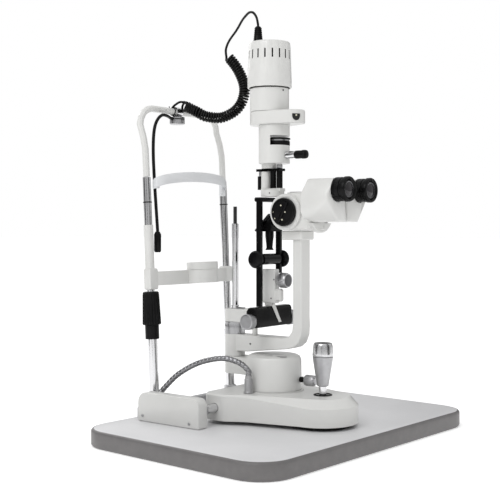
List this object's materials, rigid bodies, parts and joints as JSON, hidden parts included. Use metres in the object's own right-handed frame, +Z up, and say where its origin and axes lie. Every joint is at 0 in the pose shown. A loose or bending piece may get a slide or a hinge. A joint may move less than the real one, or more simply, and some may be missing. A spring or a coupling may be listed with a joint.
{
  "type": "slit lamp biomicroscope",
  "caption": "Slit lamp on a table top: sliding joystick base, swinging binocular microscope and tilting lamp tower on one pivot, headrest with chin cup, coiled cord and hose.",
  "frame": {"origin": "on the underside of the table top, 17 mm from its middle, in the middle plane of the instrument", "axes": "+Z up, +Y towards the patient and the headrest, +X to the right of the operator who looks along +Y"},
  "size_m": [0.6286, 0.4778, 0.7715],
  "materials": {
    "white_paint": "smooth semi-gloss enamel",
    "black_gloss": "gloss black",
    "black_plastic": "gloss black",
    "cord_rubber": "satin black cord sheath",
    "chrome": "polished chrome",
    "satin_silver": "satin, knurled on the grips",
    "laminate": "light grey laminate",
    "milky_plastic": "milky translucent strip",
    "lens_glass": "coated optical glass",
    "mirror_glass": "front-surface mirror"
  },
  "bodies": {
    "stand": {"table_top": "laminate", "headrest_crossbar": "satin_silver", "rack_left": "satin_silver", "rack_right": "satin_silver", "rail_cover_left": "white_paint", "rail_cover_right": "white_paint", "post_left": "chrome", "post_right": "chrome", "headrest_arch": "white_paint", "forehead_band": "milky_plastic", "fixation_clamp": "chrome", "curly_cord": "cord_rubber", "cord_lead": "cord_rubber", "hose": "satin_silver"},
    "chin_rest": {"chin_rest_bar": "white_paint", "chin_cup": "white_paint"},
    "chin_knob": {"chin_height_knob": "black_plastic"},
    "fixation_light": {"fixation_arm": "black_gloss", "fixation_lamp": "black_plastic"},
    "carriage": {"cross_axle": "chrome"},
    "left_wheel": {"wheel_left": "satin_silver"},
    "right_wheel": {"wheel_right": "satin_silver"},
    "base": {"base_housing": "white_paint", "lift_column": "chrome", "hose_connector": "satin_silver"},
    "joystick_gimbal": {"joystick_ball": "black_plastic"},
    "joystick": {"joystick_shaft": "chrome"},
    "joystick_handle": {"joystick_grip": "satin_silver"},
    "column": {"column_housing": "white_paint", "pivot_shaft": "chrome"},
    "lock_knob": {"column_lock_knob": "satin_silver"},
    "microscope": {"microscope_arm": "white_paint", "scale_ring": "satin_silver", "microscope_body": "white_paint", "objective_lens": "lens_glass"},
    "magnification": {"magnification_knob": "black_plastic"},
    "left_tube": {"prism_housing_left": "white_paint"},
    "right_tube": {"prism_housing_right": "white_paint"},
    "left_eyepiece": {"eyepiece_left": "black_plastic"},
    "right_eyepiece": {"eyepiece_right": "black_plastic"},
    "illumination": {"illumination_arm": "white_paint"},
    "focusing_rod": {"focus_rod": "chrome"},
    "lamp_tower": {"tilt_block": "black_gloss", "slit_box": "white_paint", "yoke": "black_gloss", "mirror_mount": "black_gloss", "mirror": "mirror_glass", "lamp_stem": "white_paint", "cross_plate": "black_gloss"},
    "tilt_lock": {"tilt_lock_shaft": "satin_silver"},
    "slit_width": {"slit_width_knob": "black_plastic"},
    "slit_centring": {"centering_knob": "satin_silver"},
    "lamp_head": {"lower_housing": "white_paint", "rotation_lever": "black_plastic", "aperture_collar": "white_paint", "lamp_body": "white_paint", "lamp_cap": "white_paint", "bulb": "lens_glass", "plug": "black_plastic"},
    "filters": {"filter_wheel": "black_plastic"}
  },
  "joints": [
    {"name": "chin_rest_height", "type": "slide", "parent": "stand", "child": "chin_rest", "axis": [0, 0.047, 0.9989], "range_m": [0, 0.04]},
    {"name": "chin_knob_turn", "type": "hinge", "parent": "chin_rest", "child": "chin_knob", "pos_m": [-0.111, 0.21448, 0.21], "axis": [0, 0.047, 0.9989], "range_deg": [-10, 1210]},
    {"name": "fixation_swivel", "type": "hinge", "parent": "stand", "child": "fixation_light", "pos_m": [-0.008, 0.243, 0.575], "axis": [0, 0, 1], "range_deg": [-60, 0]},
    {"name": "carriage_travel", "type": "slide", "parent": "stand", "child": "carriage", "axis": [0, 1, 0], "range_m": [0, 0.04], "deforming": ["curly_cord", "cord_lead", "hose"]},
    {"name": "left_wheel_roll", "type": "hinge", "parent": "carriage", "child": "left_wheel", "pos_m": [-0.154, 0.067, 0.059], "axis": [1, 0, 0], "range_deg": [-240, 240]},
    {"name": "right_wheel_roll", "type": "hinge", "parent": "carriage", "child": "right_wheel", "pos_m": [0.154, 0.067, 0.059], "axis": [1, 0, 0], "range_deg": [-240, 240]},
    {"name": "base_travel", "type": "slide", "parent": "carriage", "child": "base", "axis": [1, 0, 0], "range_m": [-0.03, 0.03]},
    {"name": "joystick_fore_aft", "type": "hinge", "parent": "base", "child": "joystick_gimbal", "pos_m": [0, -0.0887, 0.073], "axis": [1, 0, 0], "range_deg": [-6, 6]},
    {"name": "joystick_sideways", "type": "hinge", "parent": "joystick_gimbal", "child": "joystick", "pos_m": [0, -0.0887, 0.073], "axis": [0, 1, 0], "range_deg": [-6, 6]},
    {"name": "joystick_twist", "type": "hinge", "parent": "joystick", "child": "joystick_handle", "pos_m": [0, -0.0887, 0.073], "axis": [0, 0, 1], "range_deg": [-20, 1100]},
    {"name": "column_lift", "type": "slide", "parent": "base", "child": "column", "axis": [0, 0, 1], "range_m": [0, 0.03]},
    {"name": "lock_knob_turn", "type": "hinge", "parent": "column", "child": "lock_knob", "pos_m": [0.012, -0.05, 0.1035], "axis": [0, 1, 0], "range_deg": [-90, 90]},
    {"name": "microscope_swing", "type": "hinge", "parent": "column", "child": "microscope", "pos_m": [0, 0.1064, 0.138], "axis": [0, 0, 1], "range_deg": [-40, 40]},
    {"name": "magnification_turn", "type": "hinge", "parent": "microscope", "child": "magnification", "pos_m": [0, -0.0326, 0.402], "axis": [1, 0, 0], "range_deg": [-144, 144]},
    {"name": "left_tube_spread", "type": "hinge", "parent": "microscope", "child": "left_tube", "pos_m": [-0.014, -0.083, 0.388], "axis": [0, 1, 0], "range_deg": [-8, 0]},
    {"name": "right_tube_spread", "type": "hinge", "parent": "microscope", "child": "right_tube", "pos_m": [0.014, -0.083, 0.388], "axis": [0, 1, 0], "range_deg": [0, 8]},
    {"name": "left_eyepiece_focus", "type": "hinge", "parent": "left_tube", "child": "left_eyepiece", "pos_m": [-0.035, -0.15, 0.439], "axis": [0, 1, 0], "range_deg": [-120, 120]},
    {"name": "right_eyepiece_focus", "type": "hinge", "parent": "right_tube", "child": "right_eyepiece", "pos_m": [0.035, -0.15, 0.439], "axis": [0, 1, 0], "range_deg": [-120, 120]},
    {"name": "illumination_swing", "type": "hinge", "parent": "column", "child": "illumination", "pos_m": [0, 0.1064, 0.201], "axis": [0, 0, 1], "range_deg": [-40, 40]},
    {"name": "focusing_rod_lift", "type": "slide", "parent": "column", "child": "focusing_rod", "axis": [0, 0, 1], "range_m": [0, 0.05]},
    {"name": "lamp_tilt", "type": "hinge", "parent": "illumination", "child": "lamp_tower", "pos_m": [0, 0.027, 0.2085], "axis": [1, 0, 0], "range_deg": [0, 3]},
    {"name": "tilt_lock_turn", "type": "hinge", "parent": "lamp_tower", "child": "tilt_lock", "pos_m": [0, 0.027, 0.2085], "axis": [1, 0, 0], "range_deg": [-60, 60]},
    {"name": "slit_width_turn", "type": "hinge", "parent": "lamp_tower", "child": "slit_width", "pos_m": [0, 0.028, 0.318], "axis": [1, 0, 0], "range_deg": [-150, 150]},
    {"name": "slit_centring_turn", "type": "hinge", "parent": "lamp_tower", "child": "slit_centring", "pos_m": [0, 0, 0.2804], "axis": [0, 1, 0], "range_deg": [-180, 180]},
    {"name": "lamp_head_turn", "type": "hinge", "parent": "lamp_tower", "child": "lamp_head", "pos_m": [0, 0.027, 0.485], "axis": [0, 0, 1], "range_deg": [-30, 30]},
    {"name": "filter_turn", "type": "hinge", "parent": "lamp_head", "child": "filters", "pos_m": [0.0046, 0.0106, 0.53], "axis": [0, 0, 1], "range_deg": [-144, 144]}
  ],
  "couplings": [
    {"joint": "chin_knob_turn", "follows": "chin_rest_height", "rad_per_m": 523.6},
    {"joint": "left_wheel_roll", "follows": "carriage_travel", "rad_per_m": -100},
    {"joint": "right_wheel_roll", "follows": "carriage_travel", "rad_per_m": -100},
    {"joint": "joystick_twist", "follows": "column_lift", "rad_per_m": 628.32},
    {"joint": "right_tube_spread", "follows": "left_tube_spread", "ratio": -1}
  ]
}
